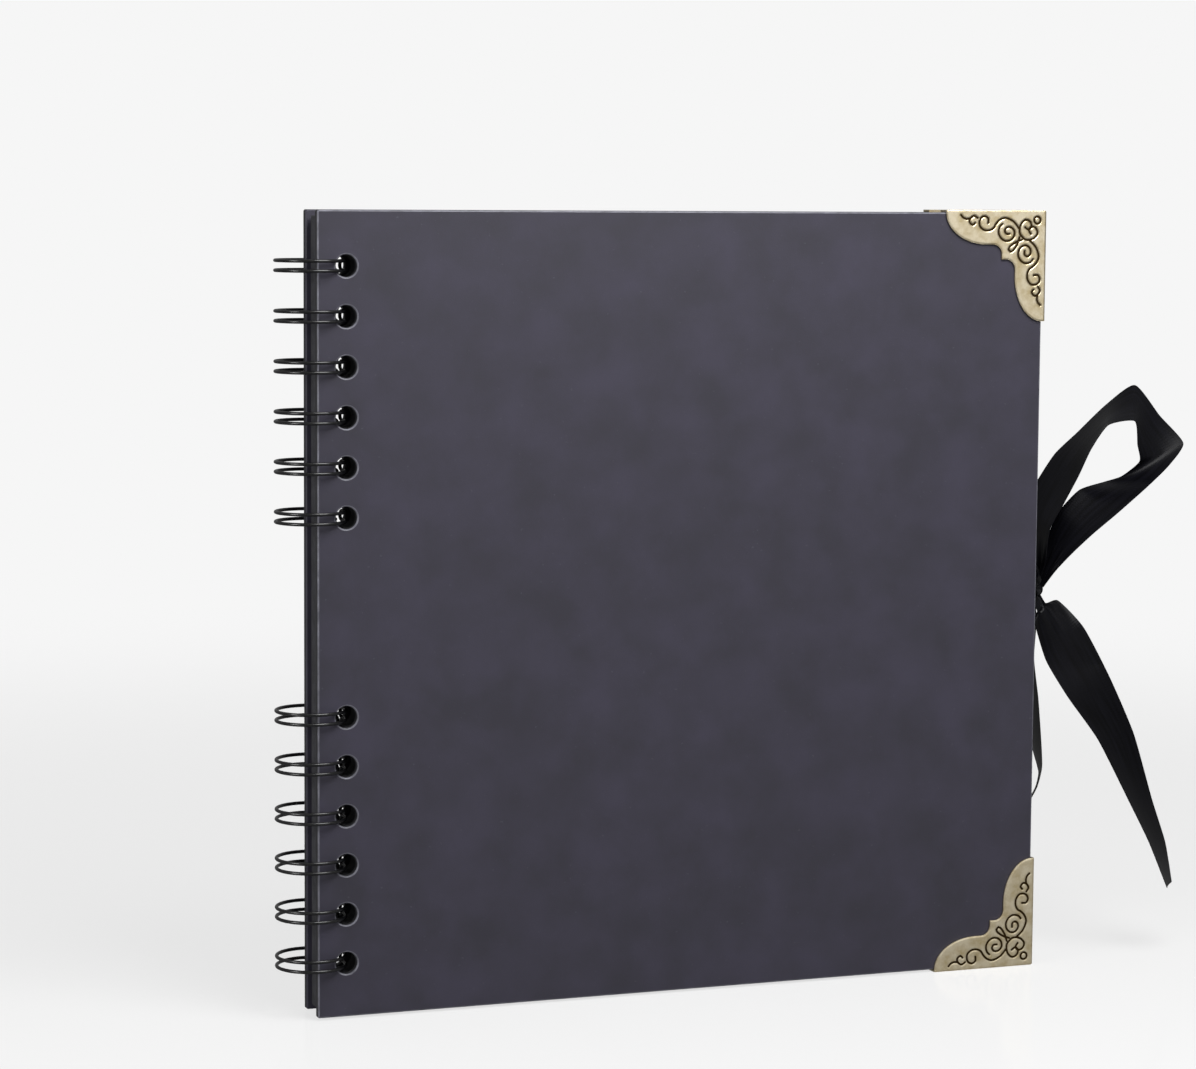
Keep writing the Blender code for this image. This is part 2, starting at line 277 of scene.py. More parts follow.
@dataclass(frozen=True)
class AntiquedBrass(Finish):
    """Stamped brass, dipped dark and rubbed back: bright on top, dark in the engraving."""

    bright: str = "#E5D9BD"
    dull: str = "#C6B48A"
    patina: str = "#3A2B14"
    attribute: str = "engraved"
    patina_roughness: float = 0.8
    rub_mm: float = 3.0
    grain_mm: float = 0.5
    relief: float = 0.08

    def dress(self, tree: bpy.types.NodeTree, shader: bpy.types.Node) -> None:
        """Rubbed brass mixed with patina by how deep the engraving is."""
        place = add_node(tree, "ShaderNodeTexCoord").outputs["Object"]
        rub = add_node(
            tree,
            "ShaderNodeTexNoise",
            inputs={
                "Vector": place,
                "Scale": 1 / (self.rub_mm * MM),
                "Detail": 5.0,
                "Roughness": 0.6,
            },
        )
        brass = self.blend(tree, rub.outputs["Fac"], [(0.3, self.dull), (0.62, self.bright)])
        deep = add_node(tree, "ShaderNodeAttribute", attribute_name=self.attribute)
        share = add_node(
            tree,
            "ShaderNodeMapRange",
            interpolation_type="SMOOTHSTEP",
            inputs={"Value": deep.outputs["Fac"], "From Min": 0.15, "From Max": 0.7},
        )
        mixed = add_node(
            tree,
            "ShaderNodeMix",
            data_type="RGBA",
            inputs={0: share.outputs["Result"], 6: brass, 7: linear(self.patina)},
        )
        tree.links.new(mixed.outputs[2], shader.inputs["Base Color"])
        rough = add_node(
            tree,
            "ShaderNodeMapRange",
            inputs={
                "Value": share.outputs["Result"],
                "To Min": self.roughness,
                "To Max": self.patina_roughness,
            },
        )
        tree.links.new(rough.outputs["Result"], shader.inputs["Roughness"])
        grain = add_node(
            tree,
            "ShaderNodeTexNoise",
            inputs={"Vector": place, "Scale": 1 / (self.grain_mm * MM), "Detail": 2.0},
        )
        bump = add_node(
            tree,
            "ShaderNodeBump",
            inputs={
                "Height": grain.outputs["Fac"],
                "Strength": self.relief,
                "Distance": 0.1 * MM,
            },
        )
        tree.links.new(bump.outputs["Normal"], shader.inputs["Normal"])


@dataclass(frozen=True)
class EnamelledWire(Finish):
    """Nylon-coated binding wire: glossy black with slight waves in the coat."""

    colour: str = "#060607"
    worn: str = "#0C0C0E"
    wave_mm: float = 2.5
    relief: float = 0.05

    def dress(self, tree: bpy.types.NodeTree, shader: bpy.types.Node) -> None:
        """A glossy coat over black, with a faint unevenness."""
        place = add_node(tree, "ShaderNodeTexCoord").outputs["Object"]
        wave = add_node(
            tree,
            "ShaderNodeTexNoise",
            inputs={"Vector": place, "Scale": 1 / (self.wave_mm * MM), "Detail": 3.0},
        )
        colour = self.blend(tree, wave.outputs["Fac"], [(0.35, self.colour), (0.7, self.worn)])
        tree.links.new(colour, shader.inputs["Base Color"])
        bump = add_node(
            tree,
            "ShaderNodeBump",
            inputs={"Height": wave.outputs["Fac"], "Strength": self.relief, "Distance": 0.1 * MM},
        )
        tree.links.new(bump.outputs["Normal"], shader.inputs["Normal"])


@dataclass(frozen=True)
class WovenSatin(Finish):
    """Polyester satin ribbon: weft ribs across the band and a soft sheen.

    Real ribs are about 0.1 mm apart; they are drawn 0.7 mm apart so that they show.
    The pattern runs on the band's own UVs, in ribbon widths along the length.
    """

    colour: str = "#040406"
    shine: str = "#0B0B10"
    rib_mm: float = 0.7
    width_mm: float = 15.0
    streak_stretch: tuple[float, float, float] = (9.0, 0.6, 1.0)
    specular: float = 0.1
    anisotropy: float = 0.5
    relief: float = 0.1

    def dress(self, tree: bpy.types.NodeTree, shader: bpy.types.Node) -> None:
        """Ribs, a few darker streaks along the band, and sheen."""
        band = add_node(tree, "ShaderNodeUVMap", uv_map="UVMap").outputs["UV"]
        ribs = add_node(
            tree,
            "ShaderNodeTexWave",
            bands_direction="Y",
            inputs={
                "Vector": band,
                "Scale": self.width_mm / self.rib_mm * 2 * pi / WAVE_RATE,
                "Distortion": 0.6,
            },
        )
        stretched = add_node(
            tree, "ShaderNodeMapping", inputs={"Vector": band, "Scale": self.streak_stretch}
        )
        streak = add_node(
            tree,
            "ShaderNodeTexNoise",
            inputs={"Vector": stretched.outputs["Vector"], "Scale": 1.6, "Detail": 4.0},
        )
        colour = self.blend(tree, streak.outputs["Fac"], [(0.35, self.colour), (0.7, self.shine)])
        tree.links.new(colour, shader.inputs["Base Color"])
        shader.inputs["Specular IOR Level"].default_value = self.specular
        shader.inputs["Anisotropic"].default_value = self.anisotropy
        bump = add_node(
            tree,
            "ShaderNodeBump",
            inputs={"Height": ribs.outputs["Fac"], "Strength": self.relief, "Distance": 0.1 * MM},
        )
        tree.links.new(bump.outputs["Normal"], shader.inputs["Normal"])


COVER_PAPER = PressedPaper(
    "black_cover_paper", 0.6, dark="#272530", light="#302D3C", fleck="#45454E"
)
CUT_BOARD = PressedPaper("cut_board_edge", 0.8, dark="#17171A", light="#222226", cloud_mm=2.0)
# The pale grey of the rounded arrises is a painted highlight where the edges catch light, with some
# rubbed wear.
ARRIS_HIGHLIGHT_AND_WEAR = PressedPaper("board_arris_highlight_and_wear", 0.5, dark="#4A4A52", light="#6C6C76", cloud_mm=3.0)
CARD = PressedPaper("black_album_card", 0.85, dark="#1E1E22", light="#26262B")
CUT_CARD = PressedPaper("cut_card_edge", 0.85, dark="#26262A", light="#3A3A3E", cloud_mm=3.0)
BRASS = AntiquedBrass("antiqued_brass", 0.34, 1.0)
WIRE = EnamelledWire("black_coated_wire", 0.26, 0.0)
SATIN = WovenSatin("black_satin_ribbon", 0.38, 0.0)


def finished_piece(
    name: str,
    shape: bmesh.types.BMesh,
    finishes: Iterable[Finish],
    body: str,
    nodes: Iterable[str],
    sharp: float = 35.0,
) -> bpy.types.Object:
    """Makes a piece from a finished bmesh and ties it to the frame.

    Args:
        name: The piece's name.
        shape: Its mesh in place, in metres. It is freed here.
        finishes: Its materials, in the order of the faces' numbers.
        body: The body that it rides on.
        nodes: The nodes that it stands for.
        sharp: Edges that turn by more degrees than this stay sharp.

    Returns:
        The new object.
    """
    bmesh.ops.recalc_face_normals(shape, faces=shape.faces)
    mesh = bpy.data.meshes.new(name)
    shape.to_mesh(mesh)
    shape.free()
    for finish in finishes:
        mesh.materials.append(finish.material())
    mesh.shade_smooth()
    mesh.set_sharp_from_angle(angle=radians(sharp))
    piece = linked(name, mesh)
    tie(piece, body, nodes)
    return piece


def tie(piece: bpy.types.Object, body: str, nodes: Iterable[str]) -> None:
    """Makes a piece ride on a body and hides the parts that it stands for."""
    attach(piece, body)
    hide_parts(*nodes)
    log.info("%s rides on %s: %d faces", piece.name, body, len(piece.data.polygons))


def apply_modifiers(piece: bpy.types.Object) -> None:
    """Turns the piece's modifiers into mesh."""
    graph = bpy.context.evaluated_depsgraph_get()
    made = bpy.data.meshes.new_from_object(piece.evaluated_get(graph), depsgraph=graph)
    old = piece.data
    piece.modifiers.clear()
    piece.data = made
    bpy.data.meshes.remove(old)


@dataclass
class Binding:
    """The punched holes and wire loops that every sheet shares, in metres."""

    pitch: float = 12.7 * MM
    loops: int = 6
    pair_spacing: float = 2.5 * MM
    wire: float = 0.9 * MM
    hole: float = 5.7 * MM
    hole_margin: float = 7.6 * MM
    seam_bend: float = 0.7 * MM
    tip_clearance: float = 0.2 * MM
    axis: Vector = field(default_factory=lambda: Vector(frame["joints"][0]["pos_m"]))

    def loop_heights(self, group: str) -> list[float]:
        """Heights of a wire's loops, from the top down."""
        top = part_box(f"wire_{group}")[1].z - (self.pair_spacing + self.wire) / 2
        return [top - self.pitch * i for i in range(self.loops)]

    def hole_heights(self) -> list[float]:
        """Heights of all the holes."""
        return self.loop_heights("upper") + self.loop_heights("lower")

    def ring_radius(self) -> float:
        """From the axis to the middle of the wire."""
        low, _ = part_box("wire_upper")
        return self.axis.x - low.x - self.wire / 2


@dataclass
class PunchedSheet:
    """A flat rectangular sheet or board with the binding's round holes."""

    binding: Binding
    node: str
    body: str
    hole_sides: int = 20
    edge_radius: float = 0.0
    corner_radius: float = 0.3 * MM
    corner_steps: int = 3
    least_radius: float = 0.02 * MM
    arris_steps: int = 3
    # Which face's rounded arris takes the pale finish, a painted highlight with some wear: -1 the
    # low-Y face, 1 the high-Y face, 0 neither.
    worn_side: int = 0

    def rings(self, inset: float) -> list[list[Point2]]:
        """The outline and the holes, as x and z, moved into the material.

        Args:
            inset: How far they move.

        Returns:
            The outline, then one ring for each hole.
        """
        low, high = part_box(self.node)
        radius = self.corner_radius
        outline = []
        for number, (right, upper) in enumerate(((1, 1), (0, 1), (0, 0), (1, 0))):
            x = high.x - radius if right else low.x + radius
            z = high.z - radius if upper else low.z + radius
            for i in range(self.corner_steps + 1):
                turn = radians(90 * (number + i / self.corner_steps))
                reach = max(radius - inset, self.least_radius)
                short = max(inset - radius, 0)
                side_x = -short if right else short
                side_z = -short if upper else short
                outline.append((x + side_x + reach * cos(turn), z + side_z + reach * sin(turn)))
        centre = low.x + self.binding.hole_margin
        radius = self.binding.hole / 2 + inset
        turns = [2 * pi * i / self.hole_sides for i in range(self.hole_sides)]
        holes = [
            [(centre + radius * cos(t), height + radius * sin(t)) for t in turns]
            for height in self.binding.hole_heights()
        ]
        return [outline, *holes]

    def profile(self) -> list[tuple[float, float, int]]:
        """The edge's section: inset, way through the sheet, and the material after it."""
        low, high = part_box(self.node)
        thickness = high.y - low.y
        radius = self.edge_radius
        if not radius:
            return [(0.0, 0.0, 1), (0.0, thickness, 1)]
        turns = [radians(90 * i / self.arris_steps) for i in range(self.arris_steps + 1)]
        # The chosen face's arris takes finish 2, painted pale as a highlight with some wear.
        front = 2 if self.worn_side < 0 else 0
        back = 2 if self.worn_side > 0 else 0
        section = [(radius * (1 - sin(t)), radius * (1 - cos(t)), front) for t in turns]
        section[-1] = (*section[-1][:2], 1)
        section += [(i, thickness - way, back) for i, way, _ in reversed(section)]
        return section

    def shape(self) -> bmesh.types.BMesh:
        """The solid sheet: its edge swept round every outline, then both faces."""
        low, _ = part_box(self.node)
        made = bmesh.new()
        rows = []
        for inset, way, finish in self.profile():
            row = [
                [made.verts.new((x, low.y + way, z)) for x, z in ring]
                for ring in self.rings(inset)
            ]
            for ring, before in zip(row, rows[-1][0] if rows else ()):
                for i in range(len(ring)):
                    face = made.faces.new((before[i - 1], before[i], ring[i], ring[i - 1]))
                    face.material_index = rows[-1][1]
            rows.append((row, finish))
        for row, _ in (rows[0], rows[-1]):
            edges = [made.edges.get((r[i - 1], r[i])) for r in row for i in range(len(r))]
            bmesh.ops.triangle_fill(made, use_beauty=True, edges=edges)
        return made

    def build(self, name: str, finishes: tuple[Finish, ...], slot: str) -> bpy.types.Object:
        """Makes the piece.

        Args:
            name: The piece's name.
            finishes: The face's, the cut edge's and, with rounded arrises, theirs.
            slot: The record's material slot. Not used.

        Returns:
            The sheet or board.
        """
        piece = finished_piece(name, self.shape(), finishes, self.body, (self.node,))
        for polygon in piece.data.polygons:
            polygon.use_smooth = abs(polygon.normal.y) < 0.999
        return piece


@dataclass
class CoverBoard(PunchedSheet):
    """A cover: pressed board faced with black paper on both sides and round the edges.

    The outer arrises, round the edges and the holes, are painted pale: a painted highlight where
    the rounded edge catches light, with some rubbed wear.
    """

    hole_sides: int = 40
    edge_radius: float = 0.4 * MM
    corner_radius: float = 0.5 * MM


@dataclass
class TwinLoopWire:
    """One bent wire that forms a row of double loops, repeated from one drawn loop."""

    binding: Binding
    group: str
    sides: int = 14
    step: float = 6.0
    bend_steps: int = 6
    tip_steps: int = 12

    def template(self) -> tuple[list[Vector], int]:
        """The top loop with half of a link at each end.

        Returns:
            The wire's points in order, and how many at each end belong to the link.
        """
        b = self.binding
        radius = b.ring_radius()
        seam_out = self.seam_middle() - b.axis.y
        seam = radius * asin(seam_out / radius)
        half = b.pair_spacing / 2
        start = seam + b.seam_bend
        end = seam + 2 * pi * radius - b.wire - b.tip_clearance - half
        count = round((end - start) / (radius * radians(self.step)))
        arc = [start + (end - start) * i / count for i in range(count + 1)]
        bends = [radians(90 * i / self.bend_steps) for i in range(self.bend_steps)]
        top = [
            (seam + b.seam_bend * (1 - cos(t)), half + b.seam_bend * (1 - sin(t))) for t in bends
        ]
        turns = [radians(180 * i / self.tip_steps) for i in range(1, self.tip_steps)]
        tip = [(end + half * sin(t), half * cos(t)) for t in turns]
        route = [*top, *((way, half) for way in arc), *tip]
        route += [(way, -half) for way in reversed(arc)]
        route += [(way, -height) for way, height in reversed(top)]
        height = b.loop_heights(self.group)[0]
        points = []
        for way, up in route:
            turn = way / radius
            points.append(Vector((radius * cos(turn), radius * sin(turn), up + height)))
            points[-1] += Vector((b.axis.x, b.axis.y, 0))
        return points, len(top) - 1

    def seam_middle(self) -> float:
        """Where along Y the loops close: between the last leaf and the back cover."""
        last = sorted(n for n in frame["nodes"] if n.startswith("leaf_"))[-1]
        return (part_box(last)[1].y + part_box("back_cover")[0].y) / 2

    def tree(self) -> bpy.types.NodeTree:
        """Geometry nodes that copy the drawn loop down the spine and sweep it as one wire."""
        tree = bpy.data.node_groups.new(f"twin_loop_{self.group}", "GeometryNodeTree")
        face = tree.interface
        face.new_socket("Geometry", in_out="INPUT", socket_type="NodeSocketGeometry")
        for label, kind in (
            ("Loops", "NodeSocketInt"),
            ("Pitch", "NodeSocketFloat"),
            ("Wire Radius", "NodeSocketFloat"),
            ("Sides", "NodeSocketInt"),
            ("Link Points", "NodeSocketInt"),
            ("Finish", "NodeSocketMaterial"),
        ):
            face.new_socket(label, in_out="INPUT", socket_type=kind)
        face.new_socket("Geometry", in_out="OUTPUT", socket_type="NodeSocketGeometry")
        given = add_node(tree, "NodeGroupInput").outputs
        size = add_node(
            tree,
            "GeometryNodeAttributeDomainSize",
            component="MESH",
            inputs={"Geometry": given["Geometry"]},
        ).outputs["Point Count"]

        def maths(operation: str, first: object, second: object) -> bpy.types.NodeSocket:
            """One sum on two sockets or numbers."""
            both = {0: first, 1: second}
            return add_node(tree, "ShaderNodeMath", operation=operation, inputs=both).outputs[0]

        total = maths("MULTIPLY", size, given["Loops"])
        index = add_node(tree, "GeometryNodeInputIndex").outputs[0]
        line = add_node(tree, "GeometryNodeMeshLine", inputs={"Count": total})
        place = add_node(
            tree,
            "GeometryNodeSampleIndex",
            data_type="FLOAT_VECTOR",
            domain="POINT",
            inputs={
                "Geometry": given["Geometry"],
                "Value": add_node(tree, "GeometryNodeInputPosition").outputs[0],
                "Index": maths("MODULO", index, size),
            },
        )
        drop = maths("MULTIPLY", maths("FLOOR", maths("DIVIDE", index, size), 0.0), given["Pitch"])
        down = add_node(tree, "ShaderNodeCombineXYZ", inputs={"Z": maths("MULTIPLY", drop, -1.0)})
        moved = add_node(
            tree,
            "ShaderNodeVectorMath",
            operation="ADD",
            inputs={0: place.outputs["Value"], 1: down.outputs[0]},
        )
        copied = add_node(
            tree,
            "GeometryNodeSetPosition",
            inputs={"Geometry": line.outputs[0], "Position": moved.outputs[0]},
        )
        last = maths("SUBTRACT", maths("SUBTRACT", total, given["Link Points"]), 1.0)
        ends = add_node(
            tree,
            "FunctionNodeBooleanMath",
            operation="OR",
            inputs={
                0: maths("LESS_THAN", index, given["Link Points"]),
                1: maths("GREATER_THAN", index, last),
            },
        )
        trimmed = add_node(
            tree,
            "GeometryNodeDeleteGeometry",
            domain="POINT",
            inputs={"Geometry": copied.outputs[0], "Selection": ends.outputs[0]},
        )
        curve = add_node(tree, "GeometryNodeMeshToCurve", inputs={"Mesh": trimmed.outputs[0]})
        section = add_node(
            tree,
            "GeometryNodeCurvePrimitiveCircle",
            inputs={"Resolution": given["Sides"], "Radius": given["Wire Radius"]},
        )
        swept = add_node(
            tree,
            "GeometryNodeCurveToMesh",
            inputs={
                "Curve": curve.outputs[0],
                "Profile Curve": section.outputs[0],
                "Fill Caps": True,
            },
        )
        smooth = add_node(
            tree, "GeometryNodeSetShadeSmooth", inputs={"Geometry": swept.outputs[0]}
        )
        real = add_node(
            tree, "GeometryNodeRealizeInstances", inputs={"Geometry": smooth.outputs[0]}
        )
        dressed = add_node(
            tree,
            "GeometryNodeSetMaterial",
            inputs={"Geometry": real.outputs[0], "Material": given["Finish"]},
        )
        add_node(tree, "NodeGroupOutput", inputs={"Geometry": dressed.outputs[0]})
        return tree

    def build(self) -> bpy.types.Object:
        """Makes the wire and bakes it to a plain mesh."""
        points, link_points = self.template()
        name = f"twin_loop_wire_{self.group}"
        mesh = bpy.data.meshes.new(name)
        mesh.from_pydata(points, [(i, i + 1) for i in range(len(points) - 1)], [])
        piece = linked(name, mesh)
        modifier = piece.modifiers.new("loops", "NODES")
        modifier.node_group = self.tree()
        values = {
            "Loops": self.binding.loops,
            "Pitch": self.binding.pitch,
            "Wire Radius": self.binding.wire / 2,
            "Sides": self.sides,
            "Link Points": link_points,
            "Finish": WIRE.material(),
        }
        for item in modifier.node_group.interface.items_tree:
            if item.name in values and item.in_out == "INPUT":
                modifier[item.identifier] = values[item.name]
        apply_modifiers(piece)
        tie(piece, Side.BACK.body, (f"wire_{self.group}",))
        return piece


def curve_weights(t: float, slackness: float = 0.5) -> np.ndarray:
    """Shares of four neighbouring points on a smooth curve between the middle two.

    Args:
        t: The place between the middle two, from 0 to 1.
        slackness: 0.5 for an even curve, and less for one that turns sharply at its points.

    Returns:
        The four shares.
    """
    rise = t**3 - 2 * t * t + t
    fall = t**3 - t * t
    step = 3 * t * t - 2 * t**3
    k = slackness
    return np.array([-k * rise, 1 - step - k * fall, step + k * rise, k * fall])


def smooth_line(points: list[Point2], spacing: float = 0.15) -> list[Point2]:
    """A smooth curve through the points.

    Args:
        points: The places that it passes through, in millimetres.
        spacing: About how far apart the curve's own points are.

    Returns:
        Points along the curve.
    """
    ends = [points[0], *points, points[-1]]
    found = []
    for i in range(1, len(ends) - 2):
        p = np.array(ends[i - 1 : i + 3])
        steps = max(2, round(np.linalg.norm(p[2] - p[1]) / spacing))
        for t in np.arange(steps) / steps:
            found.append(tuple(curve_weights(t) @ p))
    return [*found, points[-1]]


@dataclass
class CornerStamping:
    """The shape that all four brass corners share, in millimetres in its own space.

    Its x runs inwards along the cover's top or bottom edge, its y inwards along the fore
    edge, and its z out from the board's outer face. The pattern mirrors in the diagonal.
    """

    leg: float = 29.2
    lobe_start: float = 17.0
    lobe_depth: float = 8.5
    notch: float = 2.7
    cusp: float = 12.5
    metal: float = 0.5
    gap: float = 0.15
    plate: float = 0.32
    groove_width: float = 0.86
    groove_depth: float = 0.2
    groove_steepness: float = 1.5
    dot_place: float = 2.0
    dot_radius: float = 0.95
    round_over: float = 0.45
    least_edge: float = 0.05
    edge_spacing: float = 0.1
    net: float = 0.2
    outer_round: float = 0.6
    lobe_steps: int = 18
    notch_steps: int = 9
    corner_steps: int = 6
    batch: int = 512

    @property
    def rim(self) -> float:
        """How far the metal's outer face stands out from the board."""
        return self.metal + self.gap

    def outline(self) -> list[Point2]:
        """The plate's outline, starting at the album's outer corner."""
        rim = self.rim
        lobe = self.leg - self.lobe_start
        leg = []
        for i in range(self.lobe_steps + 1):
            turn = radians(90 * i / self.lobe_steps)
            leg.append((self.lobe_start + lobe * cos(turn), self.lobe_depth * sin(turn)))
        for i in range(self.notch_steps + 1):
            turn = radians(90 * i / self.notch_steps)
            across = self.cusp + self.notch * (1 - sin(turn))
            leg.append((across, self.lobe_depth + self.notch * (1 - cos(turn))))
        other = [(b, a) for a, b in reversed(leg)]
        turns = [radians(180 + 90 * i / self.corner_steps) for i in range(self.corner_steps + 1)]
        bend = self.outer_round
        centre = bend - rim
        corner = [(centre + bend * cos(t), centre + bend * sin(t)) for t in turns]
        return [*corner, (self.leg, -rim), *leg, (self.cusp, self.cusp), *other, (-rim, self.leg)]

    def strokes(self) -> list[list[Point2]]:
        """The engraved lines: scrolls along each leg, curls at the corner and a leaf."""
        half = [
            [(7.5, 4.2), (9.2, 2.4), (11.5, 1.45), (13.1, 1.85), (14.3, 2.9), (15.2, 4.2),
             (16.6, 4.8), (18.1, 4.6), (19.2, 3.7), (19.4, 2.5), (18.9, 1.4), (17.8, 1.0),
             (16.8, 1.6), (16.8, 2.8)],
            [(10.3, 5.7), (11.3, 5.65), (11.75, 4.8), (11.1, 3.95), (9.9, 3.95), (8.9, 4.9),
             (8.95, 6.3), (10.0, 7.4), (11.5, 7.6), (12.9, 6.8), (13.6, 5.4), (13.3, 3.9),
             (12.5, 3.1)],
            [(19.9, 1.5), (21.0, 0.9), (22.1, 1.6), (22.3, 2.6), (21.4, 3.3), (20.7, 2.8)],
            [(22.1, 1.6), (23.3, 1.7), (24.2, 1.4), (24.9, 0.7)],
            [(7.3, 4.3), (6.8, 2.9), (5.5, 1.9), (4.1, 2.5), (3.8, 3.8), (4.7, 4.5), (5.7, 3.9)],
            [(7.3, 4.3), (7.2, 5.6), (6.5, 6.5)],
            [(6.6, 7.3), (8.3, 7.9), (10.0, 9.0), (10.5, 9.9), (10.2, 10.2)],
        ]
        lines = [smooth_line(line) for line in half]
        lines += [[(b, a) for a, b in line] for line in lines]
        place, radius = self.dot_place, self.dot_radius
        turns = [radians(15 * i) for i in range(25)]
        lines.append([(place + radius * cos(t), place + radius * sin(t)) for t in turns])
        return lines

    def away(self, places: np.ndarray, line: np.ndarray) -> np.ndarray:
        """Each place's distance to the nearest of the line's points."""
        found = np.empty(len(places))
        for i in range(0, len(places), self.batch):
            part = places[i : i + self.batch]
            squares = ((part[:, None] - line[None]) ** 2).sum(axis=2)
            found[i : i + self.batch] = np.sqrt(squares).min(axis=1)
        return found

    def engraving(self, places: np.ndarray) -> np.ndarray:
        """How deep the engraving is at each place, from 0 to 1."""
        line = np.array([p for stroke in self.strokes() for p in stroke])
        share = 1 - self.away(places, line) / (self.groove_width / 2)
        share = np.clip(share * self.groove_steepness, 0, 1)
        return share * share * (3 - 2 * share)

    def engraved_slab(self) -> bpy.types.Object:
        """A square slab whose top carries the engraving and the plate's rounded rim."""
        low = -self.rim - self.net
        count = round((self.leg + self.net - low) / self.net) + 1
        line = low + self.net * np.arange(count)
        places = np.stack(np.meshgrid(line, line, indexing="ij"), axis=2).reshape(-1, 2)
        edge = []
        outline = self.outline()
        for first, second in zip(outline, [*outline[1:], outline[0]]):
            step = Vector((second[0] - first[0], second[1] - first[1]))
            count_here = max(1, round(step.length / self.edge_spacing))
            start, stretch = np.array(first), np.array(second) - np.array(first)
            edge += [start + stretch * i / count_here for i in range(count_here)]
        near_edge = np.clip(1 - self.away(places, np.array(edge)) / self.round_over, 0, 1)
        height = self.rim - self.groove_depth * self.engraving(places)
        height -= 0.5 * (self.plate - self.least_edge) * near_edge**2
        points = [(*p, h) for p, h in zip(places, height)]
        points += [(*p, self.rim - self.plate) for p in places]
        faces = []
        size = count * count
        for i in range(count - 1):
            for j in range(count - 1):
                a = i * count + j
                quad = (a, a + count, a + count + 1, a + 1)
                faces += [quad, tuple(size + k for k in reversed(quad))]
        rim = [i * count for i in range(count)]
        rim += [(count - 1) * count + j for j in range(1, count)]
        rim += [i * count + count - 1 for i in range(count - 2, -1, -1)]
        rim += list(range(count - 2, 0, -1))
        faces += [(a, size + a, size + b, b) for a, b in zip(rim, [*rim[1:], rim[0]])]
        return raw_object("engraved_slab", points, faces)

    def prism(
        self, name: str, outline: list[Point2], top: float, bottom: float
    ) -> bpy.types.Object:
        """A solid of the outline between two heights."""
        count = len(outline)
        points = [(a, b, top) for a, b in outline] + [(a, b, bottom) for a, b in outline]
        faces = [tuple(range(count)), tuple(range(2 * count - 1, count - 1, -1))]
        faces += [(i, i + count, (i + 1) % count + count, (i + 1) % count) for i in range(count)]
        return raw_object(name, points, faces)

    def cut(self, piece: bpy.types.Object, other: bpy.types.Object, way: str) -> None:
        """Applies a boolean with another solid, which is then removed."""
        modifier = piece.modifiers.new("cut", "BOOLEAN")
        modifier.operation = way
        modifier.object = other
        apply_modifiers(piece)
        bpy.data.objects.remove(other)

    def mesh(self, board: float) -> bpy.types.Mesh:
        """The whole stamping for a board of this thickness."""
        face = self.engraved_slab()
        self.cut(face, self.prism("outline", self.outline(), 1.0, 0.0), "INTERSECT")
        fold = self.prism("fold", self.outline(), self.rim - self.plate, -board - self.rim)
        far = 3 * self.leg
        room = [(-self.gap, -self.gap), (far, -self.gap), (far, far), (-self.gap, far)]
        self.cut(fold, self.prism("room", room, self.gap, -board - self.gap), "DIFFERENCE")
        made = bmesh.new()
        for piece in (fold, face):
            made.from_mesh(piece.data)
            bpy.data.objects.remove(piece)
        bmesh.ops.recalc_face_normals(made, faces=made.faces)
        places = np.array([v.co.to_2d() for v in made.verts])
        on_face = np.array([v.co.z > self.rim - self.plate + 0.01 for v in made.verts])
        layer = made.verts.layers.float.new("engraved")
        for vertex, depth in zip(made.verts, self.engraving(places) * on_face):
            vertex[layer] = depth
        mesh = bpy.data.meshes.new("corner_stamping")
        made.to_mesh(mesh)
        made.free()
        return mesh


def raw_object(name: str, points: list, faces: list) -> bpy.types.Object:
    """A linked object from points and faces, with its faces turned outwards."""
    mesh = bpy.data.meshes.new(name)
    mesh.from_pydata(points, [], faces)
    made = bmesh.new()
    made.from_mesh(mesh)
    bmesh.ops.recalc_face_normals(made, faces=made.faces)
    made.to_mesh(mesh)
    made.free()
    piece = linked(name, mesh)
    return piece


@dataclass
class MetalCorner:
    """A stamped brass corner, clamped over one corner of a cover."""

    side: Side
    level: Level

    def build(self, stamping: bpy.types.Mesh) -> bpy.types.Object:
        """Places a copy of the stamping on its corner of the cover.

        Args:
            stamping: The shared shape, in millimetres.

        Returns:
            The corner.
        """
        low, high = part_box(f"{self.side.word}_cover")
        face = low.y if self.side is Side.FRONT else high.y
        edge = high.z if self.level is Level.TOP else low.z
        shape = bmesh.new()
        shape.from_mesh(stamping)
        for vertex in shape.verts:
            a, b, out = vertex.co * MM
            vertex.co = (high.x - a, face + self.side.value * out, edge + self.level.value * b)
        end = f"{self.side.word}_{self.level.name.lower()}"
        return finished_piece(
            f"brass_corner_{end}",
            shape,
            (BRASS,),
            self.side.body,
            (f"corner_{end}",),
            sharp=40,
        )


